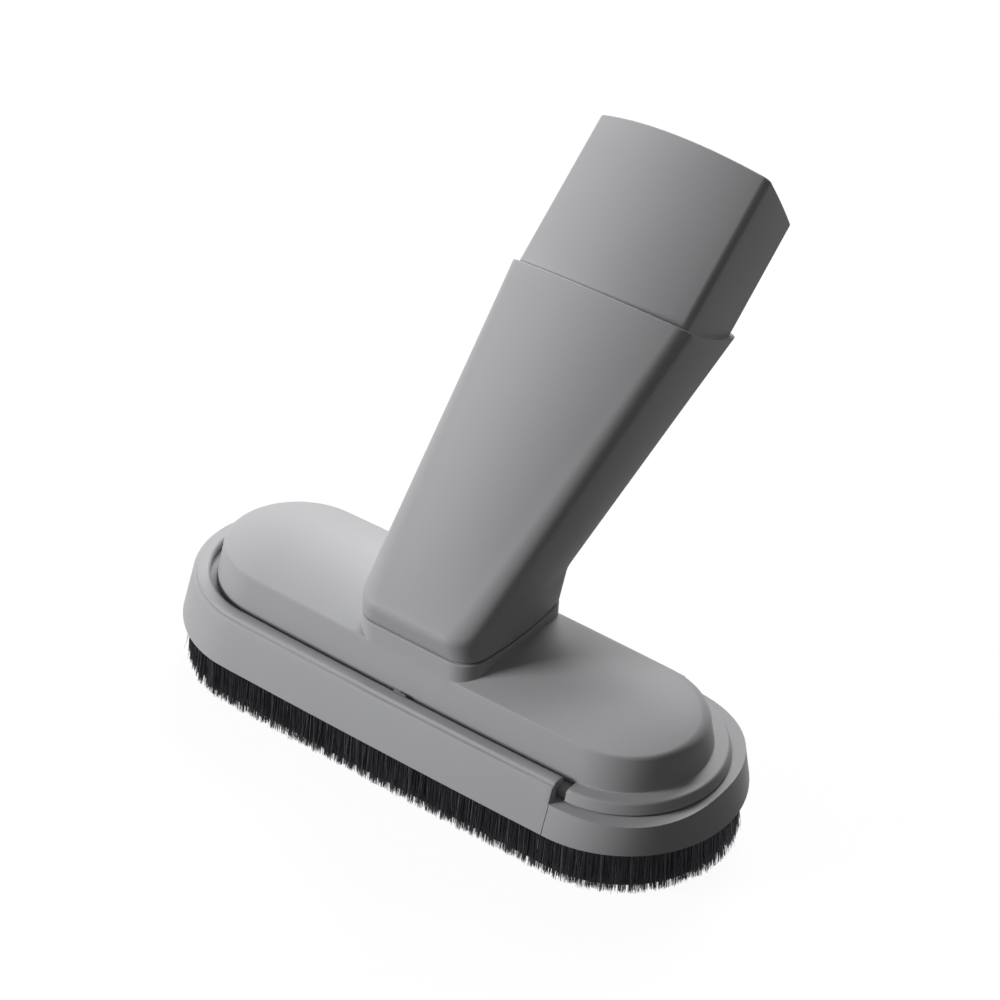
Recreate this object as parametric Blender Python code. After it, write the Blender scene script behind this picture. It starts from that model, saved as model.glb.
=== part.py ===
"""Vacuum dusting brush with a slide-on brush frame.

A hollow neck leans back from a stadium-shaped suction head. The head is a
crowned cover on a sole plate whose edge is a rail all round. A brush frame
slides onto that rail from the left until it meets the raised stop at the right
end, and carries a ring of bristles in a groove underneath.

The model is built with the head's plan centre at x = y = 0 and z = 0 on the
frame's lower edge, then set on the middle of its base. All sizes are in metres.
"""
import math
import random

import bmesh
import bpy
import numpy as np
from mathutils import Vector

MM = 0.001

# Running and seating clearances
PART_GAP = 0.3 * MM            # between two pieces that seat on each other
SLIDE_GAP = 0.34 * MM          # under the rail
RAIL_LIP_GAP = 0.6 * MM        # between the rail and the frame's lip above it
LIP_GAP = 0.8 * MM             # between the frame's lip and the cover's rim, at the sides
LIP_END_GAP = 1.1 * MM         # the same at the left end
RAIL_SIDE_GAP = 0.5 * MM       # beside the rail

# Head: cover and sole plate, measured at the cover's rim
HEAD_LENGTH = 109.8 * MM
HEAD_WIDTH = 32.2 * MM
HEAD_SIDE_CROWN = 0.8 * MM
HEAD_WALL = 2.0 * MM
HEAD_SIDE_LEAN = 0.22          # run over rise of the wall, at the sides
HEAD_END_LEAN = 0.15           # the same at the ends
DOME_HEIGHT = 7.6 * MM         # rim to the edge of the top
DOME_CROWN = 2.5 * MM          # edge of the top to its ridge
DOME_RINGS = (0.22, 0.4, 0.6, 0.8, 0.94)    # shares of the way from the edge to the ridge
FRONT_EDGE_ARM = 0.6 * MM      # rounding of the dome's edge, crisp in front
BACK_EDGE_ARM = 2.5 * MM       # and soft at the back
INSIDE_EDGE_SHARE = 0.4        # rounding inside the shell, as a share of that outside
RAIL_OVERHANG = 2.7 * MM
RAIL_THICKNESS = 1.3 * MM
STOP_OVERHANG = 3.4 * MM       # stop's foot beyond the cover's rim
STOP_HEIGHT = 0.9 * MM         # raised stop above the rail
STOP_DRAFT = 0.5 * MM
STOP_EDGE = 0.3 * MM
SLOT_SIDE_LAND = 7.6 * MM      # cover's rim to the suction slot, at the sides
SLOT_END_LAND = 12.1 * MM      # the same at the ends
LOCATING_RIB_HEIGHT = 2.4 * MM
LOCATING_RIB_WIDTH = 1.6 * MM

# Boss on the cover, and the neck that stands in it
BOSS_WIDTH = 26.6 * MM
BOSS_FRONT_SETBACK = 1.74 * MM    # boss's front face to the cover's front rim
BOSS_BACK_SETBACK = 1.0 * MM   # boss's back face to the cover's back rim
BOSS_HEIGHT = 4.0 * MM         # above the edge of the dome's top
BOSS_RADIUS = 3.6 * MM
BOSS_WALL = 2.2 * MM
BOSS_CROWNS = (0.1 * MM, 1.4 * MM, 0.1 * MM)    # front, sides and back
PLUG_LENGTH = 5.5 * MM
PLUG_WALL = 1.6 * MM

# Neck: crease where the upright collar turns into the leaning sleeve
CHIN_HEIGHT = 5.2 * MM         # front crease above the seam
CHIN_OVERHANG = 1.0 * MM       # front crease in front of the boss
NAPE_HEIGHT = 7.6 * MM         # back crease above the seam
NAPE_OVERHANG = 1.8 * MM       # back crease behind the boss
CREASE_FRONT_WIDTH = 25.4 * MM
CREASE_BACK_WIDTH = 27.0 * MM
CREASE_RADIUS = 3.4 * MM
NECK_WALL = 2.1 * MM

# Sleeve and spigot, in a frame that leans back with the neck
NECK_LEAN = math.radians(49.2)
SLEEVE_RUN = 54.9 * MM         # chin to shoulder, backwards
SLEEVE_RISE = 44.8 * MM        # chin to shoulder, upwards
SLEEVE_WIDTH = 40.5 * MM
SLEEVE_BACK_WIDTH = 35.2 * MM
SLEEVE_DEPTH = 25.2 * MM
SLEEVE_FRONT_RADIUS = 1.6 * MM
SLEEVE_BACK_RADIUS = 2.2 * MM
FRONT_CROWN = 5.2 * MM
SLEEVE_SIDE_CROWN = 0.3 * MM
BACK_CROWN = 1.6 * MM
SHOULDER_STEP = 1.1 * MM
SHOULDER_RISE = 0.18           # slope of the shoulder line from front to back
SHOULDER_BOW = 7.0             # extra rise per metre of depth squared
SPIGOT_LENGTH = 32.8 * MM
EDGE_BREAK = 0.35 * MM
SMALLEST_RADIUS = 0.3 * MM     # left on a corner whose wall takes up the rest

# Brush frame
FRAME_SIDE_WALL = 1.403 * MM   # channel to the wall's outside at its top, at the sides
FRAME_END_WALL = 1.57 * MM     # the same at the left end
FRAME_STRAIGHT = 76.4 * MM     # length of the sides between the round ends
FRAME_SIDE_CROWN = 0.65 * MM
FRAME_SIDE_LEAN = 0.333        # run over rise
FRAME_LEFT_LEAN = 0.17
FRAME_RIGHT_LEAN = 0.385
OPEN_END_EXTRA = 0.7 * MM      # how much further the right end reaches than the left one
DECK_SQUARENESS = 2.35         # of the right end's outline at the deck; 2 is round
RIM_STEP_WIDTH = 0.65 * MM
RIM_STEP_HEIGHT = 0.55 * MM
RIM_CHAMFER = 0.15 * MM
LIP_THICKNESS = 1.5 * MM
OPEN_END_LENGTH = 24.5 * MM    # low end without lip, where the stop shows
STOP_GAP = 1.9 * MM            # high wall's end to the stop
BRISTLE_GROOVE_DEPTH = 4.2 * MM
GROOVE_ROOF = 1.76 * MM        # groove to the deck above it
GROOVE_OUTER_WALL = 1.6 * MM
GROOVE_INNER_WALL = 1.5 * MM
FRAME_INNER_LEDGE = 1.1 * MM   # how far the deck reaches under the head
CATCH_X = 0.0 * MM             # small catch on the front lip
CATCH_WIDTH = 2.8 * MM

# Bristles
BRISTLE_LENGTH = 10.0 * MM     # below the frame
TUFT_COUNT = 92
TUFT_LENGTH_SPREAD = 0.5 * MM
LONG_TUFT_EVERY = 4            # these tufts keep the full length
TUFT_FLUTE = 0.28 * MM
TUFT_FLUTE_START = 0.45        # share of the length where the flutes reach full depth
TUFT_NOTCH = 1.3 * MM
BRISTLE_SPLAY = 0.5 * MM

# Fineness of the outlines
END_SEGMENTS = 18
SIDE_SEGMENTS = 8
CORNER_SEGMENTS = 5
EDGE_SEGMENTS = 4
FACE_SEGMENTS = 8
COLUMNS_PER_TUFT = 3
CUTTER_OVERRUN = 2.0 * MM      # how far a cutter runs past what it cuts

GREY = (0.36, 0.36, 0.37, 1.0)
BLACK = (0.018, 0.018, 0.024, 1.0)

# Heights that follow from the sizes above
DECK_HEIGHT = BRISTLE_GROOVE_DEPTH + GROOVE_ROOF
SOLE_BOTTOM = DECK_HEIGHT + SLIDE_GAP
RAIL_TOP = SOLE_BOTTOM + RAIL_THICKNESS
COVER_RIM = RAIL_TOP + PART_GAP
RIB_TOP = RAIL_TOP + LOCATING_RIB_HEIGHT
STOP_TOP = RAIL_TOP + STOP_HEIGHT
DOME_TOP = COVER_RIM + DOME_HEIGHT
SEAM = DOME_TOP + BOSS_HEIGHT
LIP_BOTTOM = RAIL_TOP + RAIL_LIP_GAP
LIP_TOP = LIP_BOTTOM + LIP_THICKNESS
WALL_HEIGHT = LIP_TOP - RIM_STEP_HEIGHT - RIM_CHAMFER

# Plan sizes that follow from them
CHANNEL = RAIL_OVERHANG + RAIL_SIDE_GAP
FRAME_LEFT = HEAD_LENGTH / 2 + CHANNEL + FRAME_END_WALL + FRAME_LEFT_LEAN * WALL_HEIGHT
FRAME_RIGHT = FRAME_LEFT + OPEN_END_EXTRA
FRAME_LENGTH = FRAME_LEFT + FRAME_RIGHT
FRAME_WIDTH = HEAD_WIDTH + 2 * (CHANNEL + FRAME_SIDE_WALL + FRAME_SIDE_LEAN * WALL_HEIGHT)
HIGH_WALL_END = FRAME_RIGHT - OPEN_END_LENGTH
GROOVE_INNER = GROOVE_INNER_WALL - FRAME_INNER_LEDGE
RIM_FRONT = -HEAD_WIDTH / 2 - HEAD_SIDE_CROWN
BOSS_FRONT = RIM_FRONT + BOSS_FRONT_SETBACK
BOSS_BACK = HEAD_WIDTH / 2 - BOSS_BACK_SETBACK


def stadium(reaches, half_width, centre, crown, z, squareness=2.0):
    """Plan outline with gently bowed sides, anticlockwise.

    The reaches are those of the right and the left end. Each end is half an
    ellipse about the end of the straight sides, the right one squarer at the
    corners where squareness is over 2.
    """
    flat = []
    for side, reach, power in ((1, reaches[0], 2 / squareness), (-1, reaches[1], 1.0)):
        for i in range(END_SEGMENTS + 1):
            angle = math.pi * (i / END_SEGMENTS - 0.5)
            along = abs(math.cos(angle)) ** power
            across = math.copysign(abs(math.sin(angle)) ** power, angle)
            flat.append((side * (centre + (reach - centre) * along), side * half_width * across))
        for i in range(1, SIDE_SEGMENTS):
            x = centre * (1 - 2 * i / SIDE_SEGMENTS)
            flat.append((side * x, side * half_width))
    bow = crown / half_width
    return [Vector((x, y * (1 + bow * (1 - (x / max(reaches)) ** 2)), z)) for x, y in flat]


def head_outline(offset, z, end_offset=None):
    """The cover's rim outline, moved outwards by offset, or by end_offset at the ends."""
    half_length = HEAD_LENGTH / 2 + (offset if end_offset is None else end_offset)
    centre = (HEAD_LENGTH - HEAD_WIDTH) / 2
    return stadium((half_length, half_length), HEAD_WIDTH / 2 + offset, centre, HEAD_SIDE_CROWN, z)


def cover_wall(z, inwards=0.0):
    """The outside of the cover's leaning wall at height z, moved inwards."""
    rise = z - COVER_RIM
    return head_outline(-HEAD_SIDE_LEAN * rise - inwards, z, -HEAD_END_LEAN * rise - inwards)


def frame_outline(z, inset=0.0):
    """The outside of the brush frame's leaning wall at height z, moved inwards."""
    reaches = (FRAME_RIGHT - FRAME_RIGHT_LEAN * z - inset, FRAME_LEFT - FRAME_LEFT_LEAN * z - inset)
    half_width = FRAME_WIDTH / 2 - FRAME_SIDE_LEAN * z - inset
    squareness = 2 + (DECK_SQUARENESS - 2) * min(z / DECK_HEIGHT, 1.0)
    return stadium(reaches, half_width, FRAME_STRAIGHT / 2, FRAME_SIDE_CROWN, z, squareness)


def section(front_width, back_width, depth, radii, crowns, inset=0.0):
    """Four-sided outline with rounded corners and crowned faces.

    Gives (across, back) pairs, anticlockwise from the front right corner, with
    the front corners' line at back = 0. Crowns are front, side and back.
    """
    front_half = front_width / 2 - inset
    back_half = back_width / 2 - inset
    front_radius, back_radius = [max(radius - inset, SMALLEST_RADIUS) for radius in radii]
    front_crown, side_crown, back_crown = crowns
    near, far = inset, depth - inset
    corners = ((front_half - front_radius, near + front_radius, front_radius, -90),
               (back_half - back_radius, far - back_radius, back_radius, 0),
               (back_radius - back_half, far - back_radius, back_radius, 90),
               (front_radius - front_half, near + front_radius, front_radius, 180))
    arcs = []
    for across, back, radius, start in corners:
        angles = [math.radians(start + 90 * i / CORNER_SEGMENTS) for i in range(CORNER_SEGMENTS + 1)]
        arcs.append([(across + radius * math.cos(a), back + radius * math.sin(a)) for a in angles])
    outline = []
    for arc, following in zip(arcs, arcs[1:] + arcs[:1]):
        outline += arc
        (u0, v0), (u1, v1) = arc[-1], following[0]
        for i in range(1, FACE_SEGMENTS):
            t = i / FACE_SEGMENTS
            outline.append((u0 + (u1 - u0) * t, v0 + (v1 - v0) * t))
    crowned = []
    for across, back in outline:
        t = (back - near) / (far - near)
        s = min(abs(across) / (front_half + (back_half - front_half) * t), 1.0)
        bulge = 1 - s * s
        back += bulge * (back_crown * t - front_crown * (1 - t))
        across += math.copysign(side_crown * 4 * t * (1 - t) * s, across)
        crowned.append((across, back))
    return crowned


def loft(rings, closed=False):
    """Skin through rings of equally many points, capped at both ends or closed on itself."""
    bm = bmesh.new()
    loops = [[bm.verts.new(point) for point in ring] for ring in rings]
    pairs = list(zip(loops, loops[1:]))
    if closed:
        pairs.append((loops[-1], loops[0]))
    else:
        bm.faces.new(loops[0])
        bm.faces.new(loops[-1])
    for lower, upper in pairs:
        count = len(lower)
        for i in range(count):
            j = (i + 1) % count
            bm.faces.new((lower[i], lower[j], upper[j], upper[i]))
    bmesh.ops.recalc_face_normals(bm, faces=bm.faces)
    return bm


def box(low, high):
    """Box between two corners."""
    bm = bmesh.new()
    bmesh.ops.create_cube(bm, size=1.0)
    low, high = Vector(low), Vector(high)
    size, middle = high - low, (high + low) / 2
    bmesh.ops.scale(bm, vec=size, verts=bm.verts)
    bmesh.ops.translate(bm, vec=middle, verts=bm.verts)
    return bm


def make_material(name, colour, roughness):
    material = bpy.data.materials.new(name)
    material.use_nodes = True
    shader = material.node_tree.nodes["Principled BSDF"]
    shader.inputs["Base Color"].default_value = colour
    shader.inputs["Roughness"].default_value = roughness
    shader.inputs["Metallic"].default_value = 0.0
    material.diffuse_color = colour
    return material


def add_object(name, bm, collection, material=None):
    mesh = bpy.data.meshes.new(name)
    bm.to_mesh(mesh)
    bm.free()
    if material:
        mesh.materials.append(material)
        mesh.shade_smooth()
        mesh.set_sharp_from_angle(angle=math.radians(30))
    obj = bpy.data.objects.new(name, mesh)
    collection.objects.link(obj)
    return obj


def shape_with(target, name, bm, operation, tools):
    """Cut a tool shape from the target, or join it on, with a live modifier."""
    tool = add_object(name, bm, tools)
    tool.hide_render = True
    tool.display_type = 'WIRE'
    modifier = target.modifiers.new(name, 'BOOLEAN')
    modifier.operation = operation
    modifier.solver = 'EXACT'
    modifier.object = tool
    return tool


def boss_section(z, inset=0.0):
    """The boss's plan, at height z."""
    outline = section(BOSS_WIDTH, BOSS_WIDTH, BOSS_BACK - BOSS_FRONT, (BOSS_RADIUS, BOSS_RADIUS),
                      BOSS_CROWNS, inset)
    return [Vector((across, BOSS_FRONT + back, z)) for across, back in outline]


def rounded(below, edge, above, share):
    """Rings that round an edge off, tightly in front and softly at the back."""
    rings = [[] for _ in range(EDGE_SEGMENTS + 1)]
    half_width = max(point.y for point in edge)
    for low, corner, high in zip(below, edge, above):
        back = (1 + corner.y / half_width) / 2
        arm = share * (FRONT_EDGE_ARM + (BACK_EDGE_ARM - FRONT_EDGE_ARM) * back)
        start = corner + (low - corner).normalized() * arm
        end = corner + (high - corner).normalized() * arm
        for i, ring in enumerate(rings):
            t = i / EDGE_SEGMENTS
            ring.append(start * (1 - t) ** 2 + corner * 2 * t * (1 - t) + end * t ** 2)
    return rings


def dome(wall, foot, share):
    """Rings over the dome's top from its edge to near its ridge, a wall's thickness inside it."""
    edge_height = DOME_TOP - wall
    edge = cover_wall(edge_height, wall)
    side = HEAD_SIDE_LEAN * (edge_height - COVER_RIM) + wall
    end = HEAD_END_LEAN * (edge_height - COVER_RIM) + wall
    crown = []
    for way in DOME_RINGS:
        inward = way * (HEAD_WIDTH / 2 - side)
        rise = DOME_CROWN * (1 - (1 - way) ** 2)
        crown.append(head_outline(-side - inward, edge_height + rise, -end - inward))
    return rounded(foot, edge, crown[0], share) + crown


def build_cover(material, parts, tools):
    """Crowned shell, open underneath, with the neck's boss on top."""
    inner_rim = head_outline(-HEAD_WALL, COVER_RIM)
    outer_rim = head_outline(0.0, COVER_RIM)
    inside = dome(HEAD_WALL, inner_rim, INSIDE_EDGE_SHARE)
    rings = inside[::-1] + [inner_rim, outer_rim] + dome(0.0, outer_rim, 1.0)
    cover = add_object("nozzle_cover", loft(rings), parts, material)

    foot = RIB_TOP + PART_GAP
    boss = [boss_section(foot), boss_section(SEAM - EDGE_BREAK), boss_section(SEAM, EDGE_BREAK)]
    shape_with(cover, "boss_outside", loft(boss), 'UNION', tools)
    bore_ends = (foot - CUTTER_OVERRUN, SEAM + CUTTER_OVERRUN)
    bore = [boss_section(z, BOSS_WALL) for z in bore_ends]
    shape_with(cover, "boss_bore", loft(bore), 'DIFFERENCE', tools)
    return cover


def build_sole(material, parts, tools):
    """Sole plate: the rail all round, the suction slot, and the raised stop at the right end."""
    rib_outer = HEAD_WALL + PART_GAP
    rib_inner = rib_outer + LOCATING_RIB_WIDTH
    slot_reach = HEAD_LENGTH / 2 - SLOT_END_LAND
    slot_half_width = HEAD_WIDTH / 2 - SLOT_SIDE_LAND
    slot = [stadium((slot_reach, slot_reach), slot_half_width, slot_reach - slot_half_width, 0.0, z)
            for z in (RAIL_TOP, SOLE_BOTTOM)]
    rings = [head_outline(STOP_OVERHANG, SOLE_BOTTOM),
             head_outline(STOP_OVERHANG - STOP_DRAFT, STOP_TOP - STOP_EDGE),
             head_outline(STOP_OVERHANG - STOP_DRAFT - STOP_EDGE, STOP_TOP),
             cover_wall(STOP_TOP, -PART_GAP),
             head_outline(PART_GAP, RAIL_TOP),
             cover_wall(RAIL_TOP, rib_outer),
             cover_wall(RIB_TOP, rib_outer),
             head_outline(-rib_inner, RIB_TOP),
             head_outline(-rib_inner, RAIL_TOP)] + slot
    sole = add_object("sole_plate", loft(rings, closed=True), parts, material)

    within = -HEAD_WALL / 2
    beyond = STOP_OVERHANG + CUTTER_OVERRUN
    above = STOP_TOP + CUTTER_OVERRUN
    below = SOLE_BOTTOM - CUTTER_OVERRUN
    away = [head_outline(within, RAIL_TOP), head_outline(within, above),
            head_outline(beyond, above), head_outline(beyond, below),
            head_outline(RAIL_OVERHANG, below), head_outline(RAIL_OVERHANG, RAIL_TOP)]
    lowered = shape_with(sole, "rail_clearance", loft(away, closed=True), 'DIFFERENCE', tools)
    reach = HEAD_LENGTH
    stop_box = box((HIGH_WALL_END + STOP_GAP, -reach, 0.0), (reach, reach, reach))
    shape_with(lowered, "stop_span", stop_box, 'DIFFERENCE', tools)
    return sole


def build_frame(material, parts, tools):
    """Slide-on frame: a leaning wall with a lip over the rail, and a bristle groove below."""
    rings = [frame_outline(0.0),
             frame_outline(DECK_HEIGHT),
             frame_outline(WALL_HEIGHT),
             frame_outline(WALL_HEIGHT + RIM_CHAMFER / 2, RIM_CHAMFER),
             frame_outline(WALL_HEIGHT + RIM_CHAMFER, RIM_STEP_WIDTH),
             frame_outline(LIP_TOP - RIM_CHAMFER, RIM_STEP_WIDTH),
             frame_outline(LIP_TOP, RIM_STEP_WIDTH + RIM_CHAMFER),
             head_outline(LIP_GAP, LIP_TOP, LIP_END_GAP),
             head_outline(LIP_GAP, LIP_BOTTOM, LIP_END_GAP),
             head_outline(CHANNEL, LIP_BOTTOM),
             head_outline(CHANNEL, DECK_HEIGHT),
             head_outline(-FRAME_INNER_LEDGE, DECK_HEIGHT),
             head_outline(-FRAME_INNER_LEDGE, 0.0),
             head_outline(GROOVE_INNER, 0.0),
             head_outline(GROOVE_INNER, BRISTLE_GROOVE_DEPTH),
             frame_outline(BRISTLE_GROOVE_DEPTH, GROOVE_OUTER_WALL),
             frame_outline(0.0, GROOVE_OUTER_WALL)]
    frame = add_object("brush_frame", loft(rings, closed=True), parts, material)
    reach = FRAME_LENGTH
    open_end = box((HIGH_WALL_END, -reach, DECK_HEIGHT), (reach, reach, reach))
    shape_with(frame, "open_end", open_end, 'DIFFERENCE', tools)
    catch_root = RIM_FRONT - LIP_GAP - RIM_STEP_WIDTH
    catch = box((CATCH_X - CATCH_WIDTH / 2, catch_root, LIP_BOTTOM + PART_GAP),
                (CATCH_X + CATCH_WIDTH / 2, RIM_FRONT - PART_GAP, LIP_TOP - PART_GAP))
    shape_with(frame, "catch", catch, 'UNION', tools)
    return frame


def build_bristles(material, parts):
    """Bristle ring: a backing strip in the groove and a fluted curtain of tufts below it."""
    rng = random.Random(7)
    columns = TUFT_COUNT * COLUMNS_PER_TUFT
    top = BRISTLE_GROOVE_DEPTH - PART_GAP
    outer = GROOVE_OUTER_WALL + PART_GAP
    inner = GROOVE_INNER + PART_GAP
    tuft_length = [BRISTLE_LENGTH - rng.uniform(0.0, TUFT_LENGTH_SPREAD) for _ in range(TUFT_COUNT)]
    for tuft in range(0, TUFT_COUNT, LONG_TUFT_EVERY):
        tuft_length[tuft] = BRISTLE_LENGTH

    def closed_xy(outline):
        return np.array([[point.x, point.y] for point in outline + outline[:1]])

    guide = closed_xy(frame_outline(0.0, outer))
    steps = np.linalg.norm(np.diff(guide, axis=0), axis=1)
    run = np.concatenate([[0.0], np.cumsum(steps)])
    places = np.linspace(0.0, run[-1], columns, endpoint=False)
    stations = np.interp(places, run, np.arange(len(guide)))

    def around(outline):
        """Points on an outline opposite evenly spaced ones on the curtain's outer face."""
        xy = closed_xy(outline)
        at = np.arange(len(xy))
        return np.column_stack([np.interp(stations, at, xy[:, 0]), np.interp(stations, at, xy[:, 1])])

    def ring(outline, flute, depth):
        points = around(outline)
        normal = np.roll(points, -1, axis=0) - np.roll(points, 1, axis=0)
        normal = normal[:, ::-1] * (1.0, -1.0) / np.linalg.norm(normal, axis=1)[:, None]
        result = []
        for i, (point, out) in enumerate(zip(points, normal)):
            tuft, column = divmod(i, COLUMNS_PER_TUFT)
            between = column == 0
            x, y = point - out * flute * (1.0 if between else 0.0)
            drop = depth * (tuft_length[tuft] - (TUFT_NOTCH if between else 0.0))
            result.append(Vector((x, y, -drop)))
        return result

    def level_ring(outline, z):
        return [Vector((x, y, z)) for x, y in around(outline)]

    tip_outer, tip_inner = outer - BRISTLE_SPLAY, inner - BRISTLE_SPLAY
    rings = [level_ring(frame_outline(top, outer), top),
             level_ring(frame_outline(0.0, outer), 0.0),
             ring(frame_outline(0.0, outer), TUFT_FLUTE, TUFT_FLUTE_START),
             ring(frame_outline(0.0, tip_outer), TUFT_FLUTE, 1.0),
             ring(head_outline(tip_inner, 0.0), -TUFT_FLUTE, 1.0),
             ring(head_outline(inner, 0.0), -TUFT_FLUTE, TUFT_FLUTE_START),
             level_ring(head_outline(inner, 0.0), 0.0),
             level_ring(head_outline(inner, 0.0), top)]
    return add_object("bristle_ring", loft(rings, closed=True), parts, material)


def build_neck(material, parts):
    """Hollow neck: plug, upright collar, leaning sleeve and the oval spigot in one piece."""
    axis = Vector((0.0, math.sin(NECK_LEAN), math.cos(NECK_LEAN)))
    across = Vector((1.0, 0.0, 0.0))
    backwards = Vector((0.0, math.cos(NECK_LEAN), -math.sin(NECK_LEAN)))
    chin = Vector((0.0, BOSS_FRONT - CHIN_OVERHANG, SEAM + CHIN_HEIGHT))
    nape = Vector((0.0, BOSS_BACK + NAPE_OVERHANG, SEAM + NAPE_HEIGHT))
    shoulder_front = chin + Vector((0.0, SLEEVE_RUN, SLEEVE_RISE))
    radii = (SLEEVE_FRONT_RADIUS, SLEEVE_BACK_RADIUS)
    crowns = (FRONT_CROWN, SLEEVE_SIDE_CROWN, BACK_CROWN)

    def leaning(inset, along):
        """Sleeve section moved inwards; along gives the distance up the axis at each depth."""
        outline = section(SLEEVE_WIDTH, SLEEVE_BACK_WIDTH, SLEEVE_DEPTH, radii, crowns, inset)
        return [shoulder_front + across * u + backwards * v + axis * along(v) for u, v in outline]

    def shoulder(v):
        return SHOULDER_RISE * v + SHOULDER_BOW * max(v, 0.0) ** 2

    def crease(inset):
        """Section in the sloping plane from the front crease to the back one."""
        slope = (nape - chin).normalized()
        outline = section(CREASE_FRONT_WIDTH, CREASE_BACK_WIDTH, (nape - chin).length,
                          (CREASE_RADIUS, CREASE_RADIUS), BOSS_CROWNS, inset)
        return [chin + across * u + slope * v for u, v in outline]

    plug_outer = BOSS_WALL + PART_GAP
    plug_inner = plug_outer + PLUG_WALL
    plug_end = SEAM - PLUG_LENGTH
    collar_foot = SEAM + PART_GAP
    spigot_wall = SHOULDER_STEP + NECK_WALL
    rings = [boss_section(plug_end, plug_outer),
             boss_section(collar_foot, plug_outer),
             boss_section(collar_foot, EDGE_BREAK),
             boss_section(collar_foot + EDGE_BREAK, 0.0),
             crease(0.0),
             leaning(0.0, lambda v: shoulder(v) - EDGE_BREAK),
             leaning(EDGE_BREAK, shoulder),
             leaning(SHOULDER_STEP, shoulder),
             leaning(SHOULDER_STEP, lambda v: SPIGOT_LENGTH - EDGE_BREAK),
             leaning(SHOULDER_STEP + EDGE_BREAK, lambda v: SPIGOT_LENGTH),
             leaning(spigot_wall, lambda v: SPIGOT_LENGTH),
             leaning(spigot_wall, shoulder),
             crease(NECK_WALL),
             boss_section(collar_foot, plug_inner),
             boss_section(plug_end, plug_inner)]
    return add_object("neck", loft(rings, closed=True), parts, material)


def base_offset(objects):
    """The move that puts the middle of the assembly's base on the origin."""
    bpy.context.view_layer.update()
    corners = [obj.matrix_world @ vertex.co for obj in objects for vertex in obj.data.vertices]
    low = [min(corner[i] for corner in corners) for i in range(3)]
    high = [max(corner[i] for corner in corners) for i in range(3)]
    return Vector((-(low[0] + high[0]) / 2, -(low[1] + high[1]) / 2, -low[2]))


def main():
    for obj in list(bpy.data.objects):
        bpy.data.objects.remove(obj, do_unlink=True)
    parts = bpy.data.collections.new("vacuum_dusting_brush")
    tools = bpy.data.collections.new("cutters")
    for collection in (parts, tools):
        bpy.context.scene.collection.children.link(collection)
    shell = make_material("matte_grey_plastic", GREY, 0.55)
    hair = make_material("black_bristle", BLACK, 0.7)

    neck = build_neck(shell, parts)
    cover = build_cover(shell, parts, tools)
    sole = build_sole(shell, parts, tools)
    frame = build_frame(shell, parts, tools)
    bristles = build_bristles(hair, parts)

    head = bpy.data.objects.new("head", None)
    brush = bpy.data.objects.new("slide_on_brush", None)
    pieces = (neck, cover, sole, frame, bristles)
    offset = base_offset(pieces)
    for empty, members in ((head, (neck, cover, sole)), (brush, (frame, bristles))):
        parts.objects.link(empty)
        empty.location = offset
        for member in members:
            member.parent = empty
    for tool in tools.objects:
        tool.location = tool.location + offset


main()
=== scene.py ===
"""The looks of the vacuum dusting brush: finished shells, bristles, light and camera."""

import math

import bmesh
import bpy
import numpy as np
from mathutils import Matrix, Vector


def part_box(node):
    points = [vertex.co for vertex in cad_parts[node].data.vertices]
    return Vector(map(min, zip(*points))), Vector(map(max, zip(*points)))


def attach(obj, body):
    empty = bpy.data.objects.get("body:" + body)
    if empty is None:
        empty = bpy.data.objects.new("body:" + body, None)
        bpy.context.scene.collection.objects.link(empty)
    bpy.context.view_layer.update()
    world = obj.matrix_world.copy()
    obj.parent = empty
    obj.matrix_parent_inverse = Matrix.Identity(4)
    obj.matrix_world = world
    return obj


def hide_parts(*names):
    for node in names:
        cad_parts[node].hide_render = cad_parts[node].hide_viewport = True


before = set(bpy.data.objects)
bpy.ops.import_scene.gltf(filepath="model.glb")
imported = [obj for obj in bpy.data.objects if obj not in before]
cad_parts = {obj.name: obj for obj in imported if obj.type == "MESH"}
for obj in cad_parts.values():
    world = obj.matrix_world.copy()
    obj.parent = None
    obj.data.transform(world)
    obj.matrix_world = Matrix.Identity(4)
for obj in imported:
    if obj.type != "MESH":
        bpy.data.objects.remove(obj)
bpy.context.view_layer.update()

# Metres; BEYOND lies outside every shape, and parts that seat in each other keep the gap
MM = 0.001
BEYOND = 0.2
PART_GAP = 0.3 * MM

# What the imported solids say
neck_low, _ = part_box("neck")
cover_low, cover_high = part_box("nozzle_cover")
sole_low, sole_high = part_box("sole_plate")
ring_low, ring_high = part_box("brush_frame")
tuft_low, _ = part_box("bristle_ring")

# Outlines of the head and of the brush frame, from those boxes
CENTRE_X = (cover_low.x + cover_high.x) / 2
CENTRE_Y = (ring_low.y + ring_high.y) / 2
HEAD_CROWN = 0.8 * MM
HEAD_HALF_LENGTH = cover_high.x - CENTRE_X
HEAD_HALF_WIDTH = CENTRE_Y - cover_low.y - HEAD_CROWN
RAIL_OVERHANG = cover_low.x - sole_low.x
STOP_OVERHANG = sole_high.x - cover_high.x
FRAME_CROWN = 0.65 * MM
FRAME_STRAIGHT = 38.2 * MM
FRAME_RIGHT = ring_high.x - CENTRE_X
FRAME_LEFT = CENTRE_X - ring_low.x
FRAME_HALF_WIDTH = (ring_high.y - ring_low.y) / 2 - FRAME_CROWN

# Heights
FRAME_FOOT = ring_low.z
LIP_TOP = ring_high.z
SOLE_BOTTOM = sole_low.z
RIB_TOP = sole_high.z
RIM = cover_low.z
SEAM = cover_high.z
DOME_TOP = SEAM - 4.0 * MM

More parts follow.
